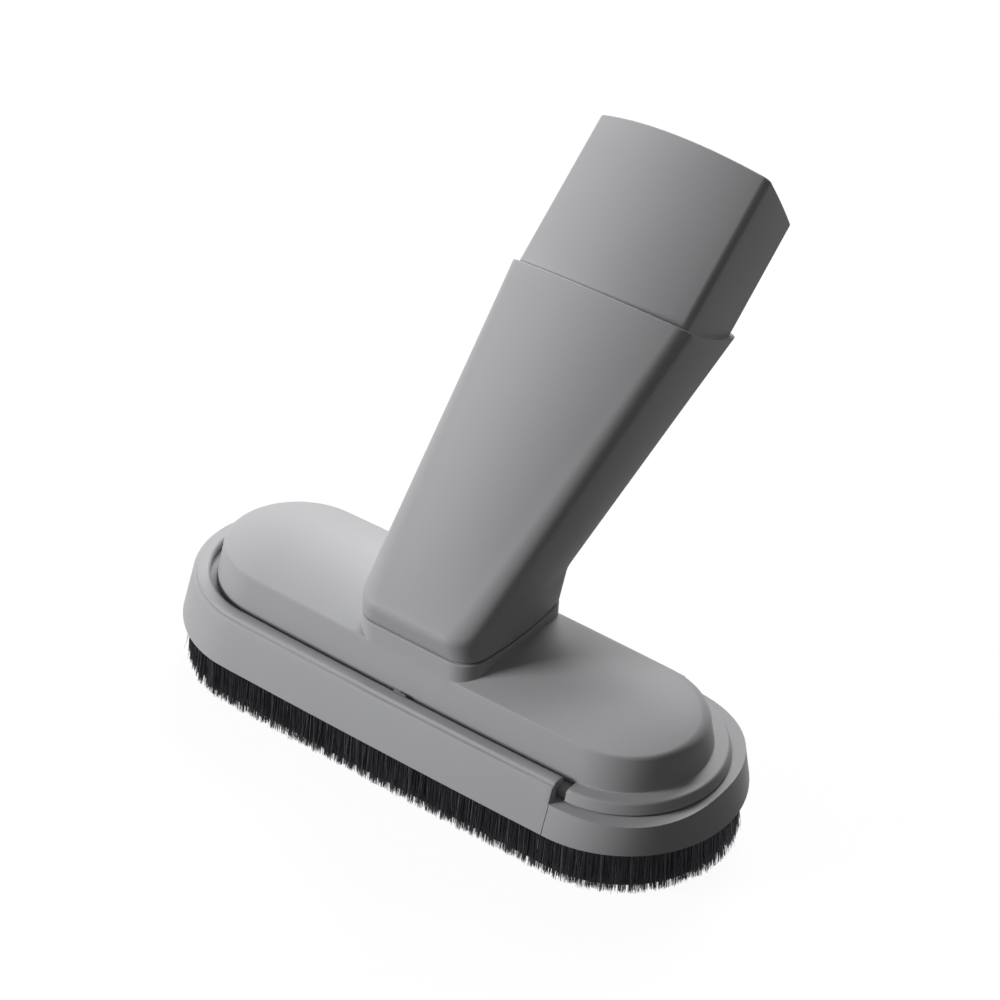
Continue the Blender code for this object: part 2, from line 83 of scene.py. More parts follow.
# Cover; an edge's arms say how far its rounding runs to both sides
HEAD_WALL = 2.0 * MM
HEAD_SIDE_LEAN = 0.22
HEAD_END_LEAN = 0.15
DOME_CROWN = 2.5 * MM
FRONT_EDGE_ARM = 0.3 * MM
BACK_EDGE_ARM = 2.5 * MM
INNER_ARM_SHARE = 0.4
COVER_FOOT_EDGE = 0.2 * MM
BOSS_HALF_WIDTH = 13.3 * MM
BOSS_BACK = 15.1 * MM
BOSS_RADIUS = 3.6 * MM
BOSS_FRONT_RADIUS = 4.4 * MM
BOSS_EDGE = 0.35 * MM
BOSS_WALL = 2.2 * MM
BOSS_SUNK = 0.04 * MM
BOSS_FLUSH = DOME_TOP - 0.5 * MM
BOSS_SIDE_CROWN = 1.4 * MM
BOSS_BACK_CROWN = 0.1 * MM
RIM_FRONT = -HEAD_HALF_WIDTH - HEAD_CROWN
BOSS_FRONT = RIM_FRONT + 1.74 * MM

# Sole plate
RAIL_TOP = RIM - PART_GAP
STOP_TOP = RAIL_TOP + 0.9 * MM
STOP_SLOPE = 0.7 * MM
STOP_FAIRING = 0.45 * MM
STOP_EDGE = 0.45 * MM
STOP_END_EDGE = 0.35 * MM
RAIL_EDGE = 0.15 * MM
SLOT_EDGE = 0.2 * MM
HIGH_WALL_END = ring_high.x - 24.5 * MM
STOP_START = HIGH_WALL_END + 1.9 * MM
COVER_OVERLAP = 0.15 * MM
RIB_OUTER = HEAD_WALL + PART_GAP
RIB_INNER = RIB_OUTER + 1.6 * MM
SLOT_REACH = HEAD_HALF_LENGTH - 12.1 * MM
SLOT_HALF_WIDTH = HEAD_HALF_WIDTH - 7.6 * MM

# Brush frame
DECK = FRAME_FOOT + 5.96 * MM
SIDE_LEAN = 0.333
LEFT_LEAN = 0.17
RIGHT_LEAN = 0.385
DECK_SQUARENESS = 2.35
STEP_WIDTH = 0.65 * MM
STEP_HEIGHT = 0.55 * MM
STEP_DROP = 0.15 * MM
STEP_RISE = 0.12 * MM
STEP_EDGE = 0.12 * MM
LIP_GAP = 1.1 * MM
LIP_END_GAP = 1.4 * MM
LIP_THICKNESS = 1.5 * MM
LIP_OUTER_EDGE = 0.3 * MM
LIP_INNER_EDGE = 0.7 * MM
LIP_LOWER_EDGE = 0.2 * MM
CHANNEL = RAIL_OVERHANG + 0.5 * MM
GROOVE_TOP = FRAME_FOOT + 4.2 * MM
GROOVE_WALL = 1.6 * MM
GROOVE_INSIDE = 0.4 * MM
DECK_INSIDE = 1.1 * MM
DECK_EDGE = 0.2 * MM
FRAME_FOOT_EDGE = 0.25 * MM
WALL_TOP_EDGE = 0.3 * MM
HIGH_WALL_EDGE = 0.25 * MM
PARTING_WIDTH = 0.24 * MM
PARTING_X = HIGH_WALL_END + 0.55 * PARTING_WIDTH
PARTING_DEPTH = 0.14 * MM

# Catch on the front lip: its root in the lip, its reach over the gap
CATCH_HALF_WIDTH = 1.4 * MM
CATCH_ROOT = 0.6 * MM
CATCH_REACH = 0.5 * MM
CATCH_FOOT = 0.3 * MM
CATCH_DROP = 0.25 * MM
CATCH_EDGE = 0.15 * MM

# Neck
CHIN_HEIGHT = 5.2 * MM
CHIN_OVERHANG = 1.0 * MM
NAPE_HEIGHT = 7.6 * MM
NAPE_OVERHANG = 1.8 * MM
CREASE_HALF_FRONT = 12.7 * MM
CREASE_HALF_BACK = 13.5 * MM
CREASE_RADIUS = 3.4 * MM
CREASE_FRONT_RADIUS = 4.8 * MM
CREASE_CROWNS = (0.1 * MM, BOSS_SIDE_CROWN, BOSS_BACK_CROWN)
NECK_SEAM = 0.6 * MM
NECK_LEAN = math.radians(49.2)
SLEEVE_RUN = 54.9 * MM
SLEEVE_RISE = 44.8 * MM
SLEEVE_HALF_FRONT = 20.25 * MM
SLEEVE_HALF_BACK = 17.6 * MM
SLEEVE_DEPTH = 25.2 * MM
SLEEVE_RADIUS = 2.2 * MM
SLEEVE_CROWNS = (5.2 * MM, 0.3 * MM, 1.6 * MM)
SHOULDER_SLOPE = 0.18
SHOULDER_CURVE = 7.0
SHOULDER_STEP = 1.1 * MM
SPIGOT_LENGTH = 32.8 * MM
NECK_WALL = 2.1 * MM
PLUG_OUTER = BOSS_WALL + PART_GAP
PLUG_INNER = PLUG_OUTER + 1.6 * MM
PLUG_EDGE = 0.2 * MM
COLLAR_EDGE = 0.2 * MM
CREASE_EDGE = 1.3 * MM
SHOULDER_EDGE = 0.3 * MM
SHOULDER_FOOT_EDGE = 0.15 * MM
SPIGOT_EDGE = 0.35 * MM
SPIGOT_INNER_EDGE = 0.3 * MM

# Bristles: the flat bed they are sown on, its rows, and the dark core between them
BED = FRAME_FOOT + 2.0 * MM
BED_OUTER = 1.95 * MM
BED_INNER = 0.75 * MM
OUTER_ROW_END = 1.3 * MM
MIDDLE_ROW_START = 1.2 * MM
MIDDLE_ROW_END = BED_INNER + 1.1 * MM
STRAY_ROW_END = 0.4 * MM
CORE_INSIDE = BED_INNER + 0.6 * MM
CORE_TOP = FRAME_FOOT + 3 * MM
CORE_FOOT = tuft_low.z + 1.3 * MM
CORE_INSETS = ((0.7 * MM, CORE_TOP), (0.5 * MM, FRAME_FOOT), (0.3 * MM, CORE_FOOT))
HAIRS_END = tuft_low.z + 0.3 * MM
STRAYS_END = tuft_low.z + 0.6 * MM
TUFT_SIZE = 1.9 * MM

# Camera, fitted to the photograph; its place counts from the middle of the frame's lower edge
CAMERA_AZIMUTH = math.radians(35.2408)
CAMERA_ELEVATION = math.radians(34.9823)
CAMERA_ROLL = math.radians(3.0561)
CAMERA_ORIGIN = Vector((CENTRE_X - 0.2 * MM, CENTRE_Y, FRAME_FOOT))
CAMERA_DISTANCE = 579.15 * MM
CAMERA_ASIDE = 8.381 * MM
CAMERA_ABOVE = 35.433 * MM
CAMERA_LENS = 109.692
SENSOR_WIDTH = 36.0

# Light: each lamp's place from the point it lights, its size and its power
LIT_POINT = Vector((0.0, 0.0, 0.045))
LAMPS = (("key", (-0.70, -0.80, 0.37), 0.36, 13.5),
         ("back", (-0.34, 0.77, 0.63), 0.6, 17.5))
FLOOR_WHITE = 0.95
AMBIENT = 0.13

# Fineness
END_STEPS = 44
SIDE_SHARES = [round(-1 + i / 18, 6) for i in range(1, 36)]
CORNER_STEPS = 9
FACE_STEPS = 14
EDGE_STEPS = 4
SLEEVE_RINGS = 14
SPIGOT_RINGS = 4

# Limits: the least corner radius of a section, and how much of the way to the next ring a rounding takes
LEAST_RADIUS = 0.3 * MM
ARM_SHARE = 0.48


def stadium(reaches, half_width, straight, crown, z, squareness=2.0, shares=SIDE_SHARES):
    """Plan outline with gently bowed sides, anticlockwise from the front right.

    The reaches are those of the right and the left end; the right end's
    corners are squarer where squareness is over 2. The shares place the
    points on the straight stretch, which runs as far to the left as to the
    right.
    """
    flat = []
    right, left = reaches
    for side, reach, power in ((1, right, 2 / squareness), (-1, left, 1.0)):
        for i in range(END_STEPS + 1):
            angle = math.pi * (i / END_STEPS - 0.5)
            along = abs(math.cos(angle)) ** power
            across = math.copysign(abs(math.sin(angle)) ** power, angle)
            flat.append((side * (straight + (reach - straight) * along), side * half_width * across))
        for share in reversed(shares) if side > 0 else shares:
            flat.append((share * straight, side * half_width))
    bow = crown / half_width
    return np.array([(CENTRE_X + x, CENTRE_Y + y * (1 + bow * (1 - (x / max(reaches)) ** 2)), z)
                     for x, y in flat])


def head_ring(offset, z, end_offset=None, shares=SIDE_SHARES):
    """The cover's rim outline, moved outwards by offset, or by end_offset at the ends."""
    half_length = HEAD_HALF_LENGTH + (offset if end_offset is None else end_offset)
    return stadium((half_length, half_length), HEAD_HALF_WIDTH + offset,
                   HEAD_HALF_LENGTH - HEAD_HALF_WIDTH, HEAD_CROWN, z, shares=shares)


def wall_ring(z, inwards=0.0):
    """The outside of the cover's leaning wall at height z, moved inwards."""
    rise = z - RIM
    return head_ring(-HEAD_SIDE_LEAN * rise - inwards, z, -HEAD_END_LEAN * rise - inwards)


def frame_ring(z, inset=0.0, shares=SIDE_SHARES):
    """The outside of the brush frame's leaning wall at height z, moved inwards."""
    rise = z - FRAME_FOOT
    reaches = (FRAME_RIGHT - RIGHT_LEAN * rise - inset, FRAME_LEFT - LEFT_LEAN * rise - inset)
    squareness = 2 + (DECK_SQUARENESS - 2) * min(max(rise / (DECK - FRAME_FOOT), 0.0), 1.0)
    half_width = FRAME_HALF_WIDTH - SIDE_LEAN * rise - inset
    return stadium(reaches, half_width, FRAME_STRAIGHT, FRAME_CROWN, z, squareness, shares)


def section(front_half, back_half, depth, radii, crowns, inset=0.0):
    """Four-sided outline with rounded corners and crowned faces, as (across, back) pairs.

    The radii are those of the front and the back corners, the crowns those of
    the front, the sides and the back.
    """
    front_half, back_half = front_half - inset, back_half - inset
    front_radius, back_radius = [max(radius - inset, LEAST_RADIUS) for radius in radii]
    front_crown, side_crown, back_crown = crowns
    near, far = inset, depth - inset
    corners = ((front_half - front_radius, near + front_radius, front_radius, -90),
               (back_half - back_radius, far - back_radius, back_radius, 0),
               (back_radius - back_half, far - back_radius, back_radius, 90),
               (front_radius - front_half, near + front_radius, front_radius, 180))
    arcs = []
    for across, back, radius, start in corners:
        angles = [math.radians(start + 90 * i / CORNER_STEPS) for i in range(CORNER_STEPS + 1)]
        arcs.append([(across + radius * math.cos(a), back + radius * math.sin(a)) for a in angles])
    outline = []
    for arc, following in zip(arcs, arcs[1:] + arcs[:1]):
        outline += arc
        (u0, v0), (u1, v1) = arc[-1], following[0]
        for i in range(1, FACE_STEPS):
            t = i / FACE_STEPS
            outline.append((u0 + (u1 - u0) * t, v0 + (v1 - v0) * t))
    crowned = []
    for across, back in outline:
        t = (back - near) / (far - near)
        s = min(abs(across) / (front_half + (back_half - front_half) * t), 1.0)
        bulge = 1 - s * s
        crowned.append((across + math.copysign(side_crown * 4 * t * (1 - t) * s, across),
                        back + bulge * (back_crown * t - front_crown * (1 - t))))
    return np.array(crowned)


def arm(ring, target, reach, share=math.inf):
    """The ring moved towards a target ring by a reach, and by no more than a share of the way."""
    way = target - ring
    length = np.linalg.norm(way, axis=1)[:, None]
    return ring + way / length * np.minimum(reach, share * length)


def turned(first, corner, last, steps):
    """Rings of a soft turn from the first ring to the last, round the corner ring between them."""
    shares = [i / steps for i in range(steps + 1)]
    return [(1 - t) ** 2 * first + 2 * t * (1 - t) * corner + t * t * last for t in shares]


def round_rings(rings, steps=EDGE_STEPS):
    """Rings of a closed run, given with their edge radii; each edge that has one is rounded off."""
    result = []
    for k, (ring, radius) in enumerate(rings):
        if radius:
            first, last = [arm(ring, neighbour[0], radius, ARM_SHARE)
                           for neighbour in (rings[k - 1], rings[(k + 1) % len(rings)])]
            result += turned(first, ring, last, steps)
        else:
            result.append(ring)
    return result


def between(first, last, count):
    """Rings that share out the way from one ring to another, both ends left out."""
    return [first + (last - first) * i / (count + 1) for i in range(1, count + 1)]


def plain(rings):
    """Rings without an edge radius, in the form that round_rings takes."""
    return [(ring, 0.0) for ring in rings]


def skin(rings, closed=False):
    """Mesh through rings of equally many points, capped or closed on itself."""
    bm = bmesh.new()
    loops = [[bm.verts.new(point) for point in ring] for ring in rings]
    pairs = list(zip(loops, loops[1:]))
    if closed:
        pairs.append((loops[-1], loops[0]))
    else:
        bm.faces.new(loops[0])
        bm.faces.new(loops[-1])
    for lower, upper in pairs:
        for i in range(len(lower)):
            j = (i + 1) % len(lower)
            bm.faces.new((lower[i], lower[j], upper[j], upper[i]))
    bmesh.ops.recalc_face_normals(bm, faces=bm.faces)
    return bm


def block(low, high, bevel=0.0):
    """Box between two corners, with its edges rounded where a bevel is given."""
    bm = bmesh.new()
    bmesh.ops.create_cube(bm, size=1.0)
    low, high = Vector(low), Vector(high)
    bmesh.ops.scale(bm, vec=high - low, verts=bm.verts)
    bmesh.ops.translate(bm, vec=(high + low) / 2, verts=bm.verts)
    if bevel:
        bmesh.ops.bevel(bm, geom=bm.edges, offset=bevel, segments=3, profile=0.5, affect='EDGES')
    return bm


def new_object(name, bm):
    """Object in the scene with the finished mesh."""
    mesh = bpy.data.meshes.new(name)
    bm.to_mesh(mesh)
    bm.free()
    obj = bpy.data.objects.new(name, mesh)
    bpy.context.scene.collection.objects.link(obj)
    return obj


def settle(obj, name):
    """The object's evaluated mesh as a plain one, under the final name."""
    bpy.context.view_layer.update()
    mesh = bpy.data.meshes.new_from_object(obj.evaluated_get(bpy.context.evaluated_depsgraph_get()))
    bpy.data.objects.remove(obj)
    mesh.name = name
    result = bpy.data.objects.new(name, mesh)
    bpy.context.scene.collection.objects.link(result)
    return result


def combine(target, tool, operation):
    """Cut the tool from the target, or join it on, and return the new target; the tool is used up."""
    modifier = target.modifiers.new("shape", 'BOOLEAN')
    modifier.operation = operation
    modifier.solver = 'EXACT'
    modifier.object = tool
    result = settle(target, target.name)
    bpy.data.objects.remove(tool)
    return result


def shape_with(target, bm, operation):
    """The same with a mesh that is still being built as the tool."""
    return combine(target, new_object("tool", bm), operation)


def soften_ends(obj, x, above, radius):
    """Round the edges of the upright end face that lies in a plane of constant x."""
    same_place, same_plane = 1e-6, 2e-6
    raised_by = 0.05 * MM
    sharp_angle = 0.6
    bm = bmesh.new()
    bm.from_mesh(obj.data)
    bmesh.ops.remove_doubles(bm, verts=bm.verts, dist=same_place)
    edges = []
    for e in bm.edges:
        on_end = all(abs(v.co.x - x) < same_plane for v in e.verts)
        raised = any(v.co.z > above + raised_by for v in e.verts)
        sharp = len(e.link_faces) == 2 and e.calc_face_angle(0.0) > sharp_angle and e.is_convex
        if on_end and raised and sharp:
            edges.append(e)
    bmesh.ops.bevel(bm, geom=edges, offset=radius, segments=3, profile=0.5, affect='EDGES',
                    clamp_overlap=True)
    bm.to_mesh(obj.data)
    bm.free()


def dress(obj, material, body, slot, *nodes, sharp=38):
    """Smooth shading, material, body and the CAD node that the piece stands for."""
    obj.data.materials.clear()
    obj.data.materials.append(material)
    obj.data.shade_smooth()
    obj.data.set_sharp_from_angle(angle=math.radians(sharp))
    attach(obj, body)
    if nodes:
        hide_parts(*nodes)
    return obj


# Shader building blocks

def link_in(tree, source, output, target, target_input):
    """Link an output of the source node into an input of the target node."""
    tree.links.new(source.outputs[output], target.inputs[target_input])


def moulded_grain():
    """Node group: the fine matte grain and faint mottling of a textured mould."""
    group = bpy.data.node_groups.new("moulded_grain", 'ShaderNodeTree')
    for name, kind, value in (("Colour", 'NodeSocketColor', (0.5, 0.5, 0.5, 1.0)),
                              ("Grain Size", 'NodeSocketFloat', 0.25 * MM),
                              ("Mottle", 'NodeSocketFloat', 0.05),
                              ("Roughness", 'NodeSocketFloat', 0.5)):
        socket = group.interface.new_socket(name, in_out='INPUT', socket_type=kind)
        socket.default_value = value
    for name, kind in (("Colour", 'NodeSocketColor'), ("Roughness", 'NodeSocketFloat'),
                       ("Height", 'NodeSocketFloat')):
        group.interface.new_socket(name, in_out='OUTPUT', socket_type=kind)
    nodes = group.nodes
    start = nodes.new('NodeGroupInput')
    end = nodes.new('NodeGroupOutput')
    place = nodes.new('ShaderNodeTexCoord')

    fineness = nodes.new('ShaderNodeMath')
    fineness.operation = 'DIVIDE'
    fineness.inputs[0].default_value = 1.0
    link_in(group, start, "Grain Size", fineness, 1)
    grain = nodes.new('ShaderNodeTexNoise')
    grain.inputs["Detail"].default_value = 3.0
    grain.inputs["Roughness"].default_value = 0.6
    link_in(group, place, "Object", grain, "Vector")
    link_in(group, fineness, 0, grain, "Scale")
    link_in(group, grain, 0, end, "Height")

    cloud = nodes.new('ShaderNodeTexNoise')
    cloud.inputs["Scale"].default_value = 70.0
    cloud.inputs["Detail"].default_value = 5.0
    link_in(group, place, "Object", cloud, "Vector")
    both = nodes.new('ShaderNodeMath')
    both.operation = 'ADD'
    link_in(group, cloud, 0, both, 0)
    link_in(group, grain, 0, both, 1)
    spread = nodes.new('ShaderNodeMath')
    spread.operation = 'MULTIPLY_ADD'
    link_in(group, both, 0, spread, 0)
    link_in(group, start, "Mottle", spread, 1)
    level = nodes.new('ShaderNodeMath')
    level.operation = 'SUBTRACT'
    level.inputs[0].default_value = 1.0
    link_in(group, start, "Mottle", level, 1)
    link_in(group, level, 0, spread, 2)
    tint = nodes.new('ShaderNodeVectorMath')
    tint.operation = 'SCALE'
    link_in(group, start, "Colour", tint, 0)
    link_in(group, spread, 0, tint, "Scale")
    link_in(group, tint, 0, end, "Colour")

    uneven_gloss = 0.14
    gloss = nodes.new('ShaderNodeMath')
    gloss.operation = 'MULTIPLY_ADD'
    gloss.inputs[1].default_value = uneven_gloss
    link_in(group, grain, 0, gloss, 0)
    link_in(group, start, "Roughness", gloss, 2)
    link_in(group, gloss, 0, end, "Roughness")
    return group


def plastic(name, group, colour, roughness, grain_size, mottle, bump):
    """Matte moulded plastic with the shared grain group."""
    material = bpy.data.materials.new(name)
    material.use_nodes = True
    tree = material.node_tree
    shader = tree.nodes["Principled BSDF"]
    finish = tree.nodes.new('ShaderNodeGroup')
    finish.node_tree = group
    finish.inputs["Colour"].default_value = (*colour, 1.0)
    finish.inputs["Grain Size"].default_value = grain_size
    finish.inputs["Mottle"].default_value = mottle
    finish.inputs["Roughness"].default_value = roughness
    relief = tree.nodes.new('ShaderNodeBump')
    relief.inputs["Strength"].default_value = bump
    relief.inputs["Distance"].default_value = 0.02 * MM
    link_in(tree, finish, "Colour", shader, "Base Color")
    link_in(tree, finish, "Roughness", shader, "Roughness")
    link_in(tree, finish, "Height", relief, "Height")
    link_in(tree, relief, "Normal", shader, "Normal")
    shader.inputs["Specular IOR Level"].default_value = 0.12
    return material


def bristle_material(name, dark, light, roughness):
    """Hair: strands of slightly different tone, told apart by where they stand."""
    material = bpy.data.materials.new(name)
    material.use_nodes = True
    tree = material.node_tree
    shader = tree.nodes["Principled BSDF"]
    place = tree.nodes.new('ShaderNodeTexCoord')
    drawn_out = (1.0, 1.0, 0.08)
    along = tree.nodes.new('ShaderNodeMapping')
    along.inputs["Scale"].default_value = drawn_out
    strands = tree.nodes.new('ShaderNodeTexNoise')
    strands.inputs["Scale"].default_value = 2600.0
    strands.inputs["Detail"].default_value = 2.0
    ramp = tree.nodes.new('ShaderNodeValToRGB')
    ramp.color_ramp.elements[0].position = 0.42
    ramp.color_ramp.elements[0].color = (*dark, 1.0)
    ramp.color_ramp.elements[1].position = 0.78
    ramp.color_ramp.elements[1].color = (*light, 1.0)
    link_in(tree, place, "Object", along, "Vector")
    link_in(tree, along, "Vector", strands, "Vector")
    link_in(tree, strands, 0, ramp, "Fac")
    link_in(tree, ramp, "Color", shader, "Base Color")
    shader.inputs["Roughness"].default_value = roughness
    shader.inputs["Specular IOR Level"].default_value = 0.35
    return material


# Shells

def boss_ring(z, inset=0.0):
    """The boss's plan at height z; its front runs on from the cover's leaning wall."""
    front = min(RIM_FRONT + HEAD_SIDE_LEAN * (z - RIM), BOSS_FRONT)
    outline = section(BOSS_HALF_WIDTH, BOSS_HALF_WIDTH, BOSS_BACK - front, (BOSS_FRONT_RADIUS, BOSS_RADIUS),
                      (0.0, BOSS_SIDE_CROWN, BOSS_BACK_CROWN), inset)
    return np.array([(CENTRE_X + across, CENTRE_Y + front + back, z) for across, back in outline])


def plug_ring(z, inset):
    """The boss's plan at its top, moved inwards and to height z, for the plug and its bore."""
    ring = boss_ring(SEAM, inset)
    ring[:, 2] = z
    return ring


def quarter(radius, steps):
    """Inset and drop of a quarter-round edge, from the wall to the top."""
    angles = [math.pi / 2 * i / steps for i in range(steps + 1)]
    return [(radius * (1 - math.cos(a)), radius * (1 - math.sin(a))) for a in angles]


def dome_rings(wall, foot, share, steps, levels):
    """Rings from the dome's edge, tight in front and soft at the back, to near its ridge.

    The wall is how far inside the cover's outside they lie, the foot the ring
    below the edge, and the share that of the edge's arms.
    """
    height = DOME_TOP - wall
    edge = wall_ring(height, wall)
    side = HEAD_SIDE_LEAN * (height - RIM) + wall
    end = HEAD_END_LEAN * (height - RIM) + wall
    crown = []
    for i in range(1, levels):
        way = i / levels
        inward = way * (HEAD_HALF_WIDTH - side)
        crown.append(head_ring(-side - inward, height + DOME_CROWN * (1 - (1 - way) ** 2), -end - inward))
    across = edge[:, 1] - CENTRE_Y
    back = (1 + across / across.max())[:, None] / 2
    reach = share * (FRONT_EDGE_ARM + (BACK_EDGE_ARM - FRONT_EDGE_ARM) * back)
    first, last = arm(edge, foot, reach), arm(edge, crown[0], reach)
    clear = [ring for ring in crown if (ring[:, 2] > last[:, 2].max()).all()]
    return turned(first, edge, last, steps) + clear


def make_cover(material):
    """Crowned shell with the neck's boss."""
    inner_rim = head_ring(-HEAD_WALL, RIM)
    inside = dome_rings(HEAD_WALL, inner_rim, share=INNER_ARM_SHARE, steps=4, levels=10)
    above_foot = wall_ring(RIM + COVER_FOOT_EDGE)
    bevel = 0.3 * COVER_FOOT_EDGE
    rings = inside[::-1]
    rings += [inner_rim, head_ring(-COVER_FOOT_EDGE, RIM), head_ring(-bevel, RIM + bevel), above_foot]
    rings += dome_rings(0.0, above_foot, share=1.0, steps=12, levels=24)
    cover = new_object("cover_shell", skin(rings))

    upright_from = RIM + (BOSS_FRONT - RIM_FRONT) / HEAD_SIDE_LEAN
    boss = [boss_ring(RIB_TOP + PART_GAP, BOSS_SUNK), boss_ring(BOSS_FLUSH - MM, BOSS_SUNK),
            boss_ring(BOSS_FLUSH), boss_ring(upright_from)]
    boss += [boss_ring(SEAM - drop, inset) for inset, drop in quarter(BOSS_EDGE, steps=4)]
    cover = shape_with(cover, skin(boss), 'UNION')
    bore = [plug_ring(z, BOSS_WALL) for z in (RIB_TOP - MM, SEAM + MM)]
    cover = shape_with(cover, skin(bore), 'DIFFERENCE')
    return dress(cover, material, "head", "grey_plastic", "nozzle_cover")


def make_sole(material):
    """Sole plate with its rail, the suction slot and the raised stop faired into the cover's foot."""
    slot = [stadium((SLOT_REACH, SLOT_REACH), SLOT_HALF_WIDTH, SLOT_REACH - SLOT_HALF_WIDTH, 0.0, z)
            for z in (RAIL_TOP, SOLE_BOTTOM)]
    rings = [(head_ring(STOP_OVERHANG, SOLE_BOTTOM), RAIL_EDGE),
             (head_ring(STOP_OVERHANG - STOP_SLOPE, STOP_TOP), STOP_EDGE),
             (wall_ring(STOP_TOP), STOP_FAIRING)]
    rings += plain([wall_ring(STOP_TOP + STOP_FAIRING),
                    wall_ring(STOP_TOP + STOP_FAIRING, COVER_OVERLAP),
                    wall_ring(RAIL_TOP, COVER_OVERLAP),
                    wall_ring(RAIL_TOP, RIB_OUTER),
                    wall_ring(RIB_TOP, RIB_OUTER),
                    head_ring(-RIB_INNER, RIB_TOP),
                    head_ring(-RIB_INNER, RAIL_TOP)])
    rings += [(ring, SLOT_EDGE) for ring in slot]
    sole = new_object("sole_shell", skin(round_rings(rings), closed=True))

    # The stop is there at the right end only; elsewhere the rail is low and narrow
    within = -HEAD_WALL / 2
    margin = 2 * MM
    above = STOP_TOP + margin
    below = SOLE_BOTTOM - margin
    outside = STOP_OVERHANG + margin
    clearance = [head_ring(within, RAIL_TOP), head_ring(within, above),
                 head_ring(outside, above), head_ring(outside, below),
                 head_ring(RAIL_OVERHANG, below), head_ring(RAIL_OVERHANG, RAIL_TOP)]
    away = new_object("rail_clearance", skin(clearance, closed=True))
    away = shape_with(away, block((STOP_START, -BEYOND, -BEYOND), (BEYOND, BEYOND, BEYOND)), 'DIFFERENCE')
    sole = combine(sole, away, 'DIFFERENCE')
    soften_ends(sole, STOP_START, RAIL_TOP, STOP_END_EDGE)
    return dress(sole, material, "head", "grey_plastic", "sole_plate")


def make_frame(material):
    """Slide-on frame: leaning wall with a stepped rim and a lip over the rail, and the low open end."""
    near = 0.01 * MM
    notch = (PARTING_X - CENTRE_X) / FRAME_STRAIGHT
    half = PARTING_WIDTH / 2 / FRAME_STRAIGHT
    shares = sorted(SIDE_SHARES + [notch - half, notch, notch + half])

    def parted(ring):
        """Sink the station on the parting line a little into the wall, front and back."""
        ring = ring.copy()
        here = np.abs(ring[:, 0] - PARTING_X) < near
        ring[here, 1] -= np.sign(ring[here, 1] - CENTRE_Y) * PARTING_DEPTH
        return ring

    def outside(z, inset=0.0):
        return frame_ring(z, inset, shares)

    def inside(offset, z, end_offset=None):
        return head_ring(offset, z, end_offset, shares)

    wall_top = LIP_TOP - STEP_HEIGHT - STEP_DROP
    lip_bottom = LIP_TOP - LIP_THICKNESS
    rings = [(parted(outside(FRAME_FOOT)), FRAME_FOOT_EDGE),
             (parted(outside(DECK)), 0.0),
             (outside(wall_top), WALL_TOP_EDGE),
             (outside(wall_top + STEP_RISE, STEP_WIDTH), STEP_EDGE),
             (outside(LIP_TOP, STEP_WIDTH), LIP_OUTER_EDGE),
             (inside(LIP_GAP, LIP_TOP, LIP_END_GAP), LIP_INNER_EDGE),
             (inside(LIP_GAP, lip_bottom, LIP_END_GAP), LIP_LOWER_EDGE),
             (inside(CHANNEL, lip_bottom), 0.0),
             (inside(CHANNEL, DECK), 0.0),
             (inside(-DECK_INSIDE, DECK), DECK_EDGE),
             (inside(-DECK_INSIDE, FRAME_FOOT), DECK_EDGE)]
    rings += plain([inside(GROOVE_INSIDE, FRAME_FOOT), inside(GROOVE_INSIDE, GROOVE_TOP),
                    outside(GROOVE_TOP, GROOVE_WALL), outside(FRAME_FOOT, GROOVE_WALL)])
    shell = new_object("frame_shell", skin(round_rings(rings, steps=3), closed=True))
    right_end = block((HIGH_WALL_END, -BEYOND, DECK), (BEYOND, BEYOND, BEYOND))
    shell = shape_with(shell, right_end, 'DIFFERENCE')
    lip_front = CENTRE_Y + RIM_FRONT - LIP_GAP
    catch = block((CENTRE_X - CATCH_HALF_WIDTH, lip_front - CATCH_ROOT, lip_bottom + CATCH_FOOT),
                  (CENTRE_X + CATCH_HALF_WIDTH, lip_front + CATCH_REACH, LIP_TOP - CATCH_DROP), CATCH_EDGE)
    shell = shape_with(shell, catch, 'UNION')
    soften_ends(shell, HIGH_WALL_END, DECK, HIGH_WALL_EDGE)
    return dress(shell, material, "brush", "grey_plastic", "brush_frame")


